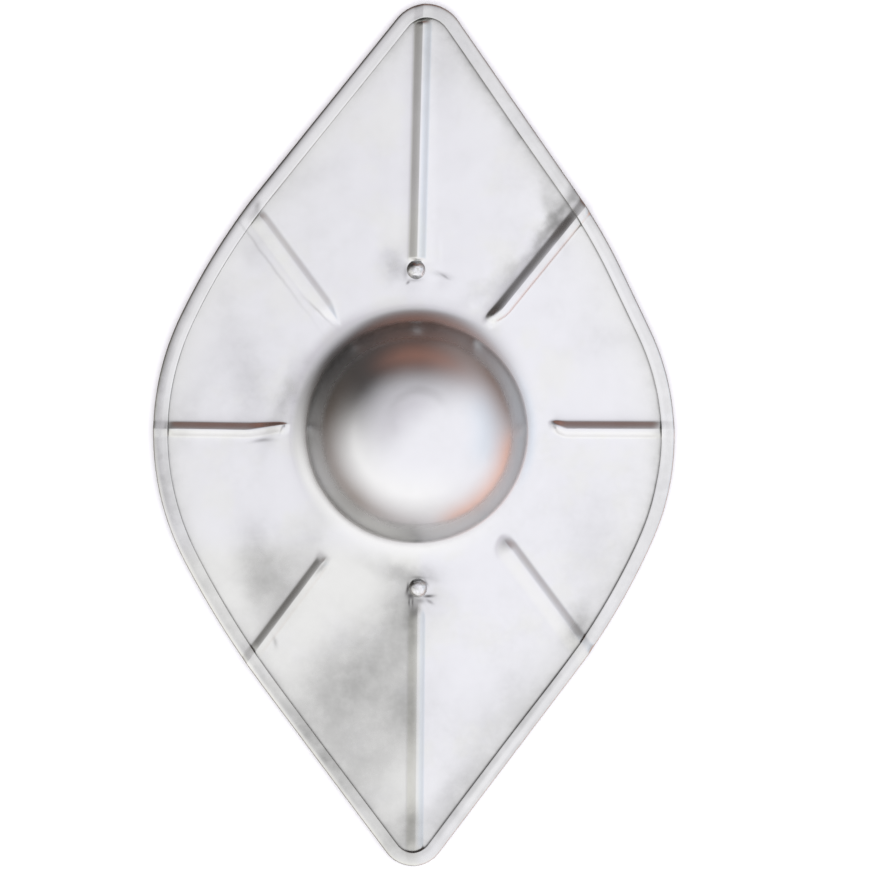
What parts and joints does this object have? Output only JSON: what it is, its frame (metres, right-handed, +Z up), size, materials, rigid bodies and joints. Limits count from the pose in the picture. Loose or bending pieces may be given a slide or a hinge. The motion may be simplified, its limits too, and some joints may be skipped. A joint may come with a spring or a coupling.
{
  "type": "buckler",
  "caption": "Lozenge-shaped hand shield of sheet steel with a domed boss, raised ridges, a folded rim hem and a strap grip behind.",
  "frame": {"origin": "under the middle of the shield, on the surface it lies on", "axes": "+Z up out of the boss with the shield on its back, +Y along the shield to its upper tip, +X to the right seen from the front"},
  "size_m": [0.3024, 0.4999, 0.0478],
  "materials": {
    "polished_steel": "polished, softly worn",
    "grip_steel": "satin",
    "rivet_steel": "polished"
  },
  "bodies": {
    "root": {"shield_plate": "polished_steel", "hand_grip": "grip_steel", "rivet_upper": "rivet_steel", "rivet_lower": "rivet_steel"}
  },
  "joints": []
}
